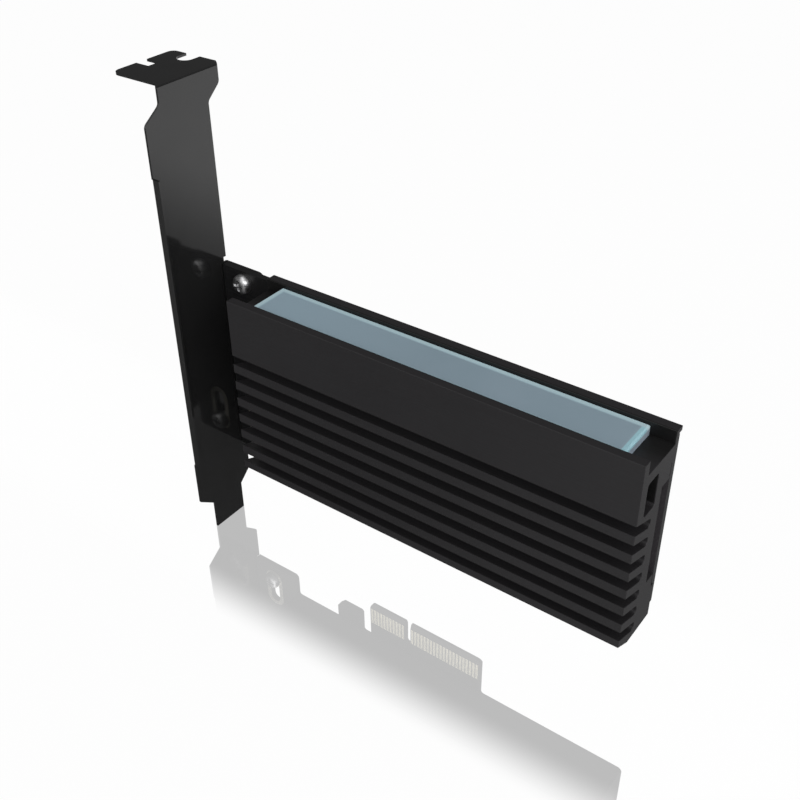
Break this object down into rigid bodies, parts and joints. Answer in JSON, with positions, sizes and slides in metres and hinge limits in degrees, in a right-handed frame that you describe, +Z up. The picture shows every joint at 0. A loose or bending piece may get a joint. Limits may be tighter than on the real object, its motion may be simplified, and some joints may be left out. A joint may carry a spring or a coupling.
{
  "type": "nvme adapter card",
  "caption": "Full height PCIe x4 adapter board for an M.2 drive, under an extruded finned heatsink with a light bar and slot bracket.",
  "frame": {"origin": "centre of the key notch on the lower edge of the contact tongue, in the middle of the board's thickness", "axes": "+X along the board away from the bracket, +Y towards the solder side, +Z up, away from the contact edge"},
  "size_m": [0.1308, 0.0234, 0.12],
  "materials": {
    "board": "black solder mask, satin",
    "gold": "gold plated, polished",
    "tin": "tinned lands, satin",
    "bracket": "gloss black",
    "screw": "nickel plated, polished",
    "heatsink": "black anodised, fine satin",
    "light_bar": "frosted translucent, clear edges",
    "strip": "white solder mask",
    "led": "clear lens over white case",
    "black_plastic": "moulded, matte",
    "chip": "moulded package",
    "ceramic_part": "fired ceramic"
  },
  "bodies": {
    "root": {"board": "board", "bracket": "bracket", "bracket_screws": "screw", "clamp_screws": "screw", "contacts_back": "gold", "contacts_front": "gold", "coupling_capacitors": "ceramic_part", "drive_lands": "tin", "drive_screw": "screw", "drive_socket": "black_plastic", "drive_standoff": "screw", "header_pins": "gold", "heatsink": "heatsink", "inductor": "chip", "led_strip": "strip", "leds": "led", "light_bar": "light_bar", "light_header": "black_plastic", "mount_lands": "tin", "power_capacitors": "ceramic_part", "regulator": "chip", "regulator_leads": "tin", "resistors": "chip", "socket_tails": "gold"}
  },
  "joints": []
}
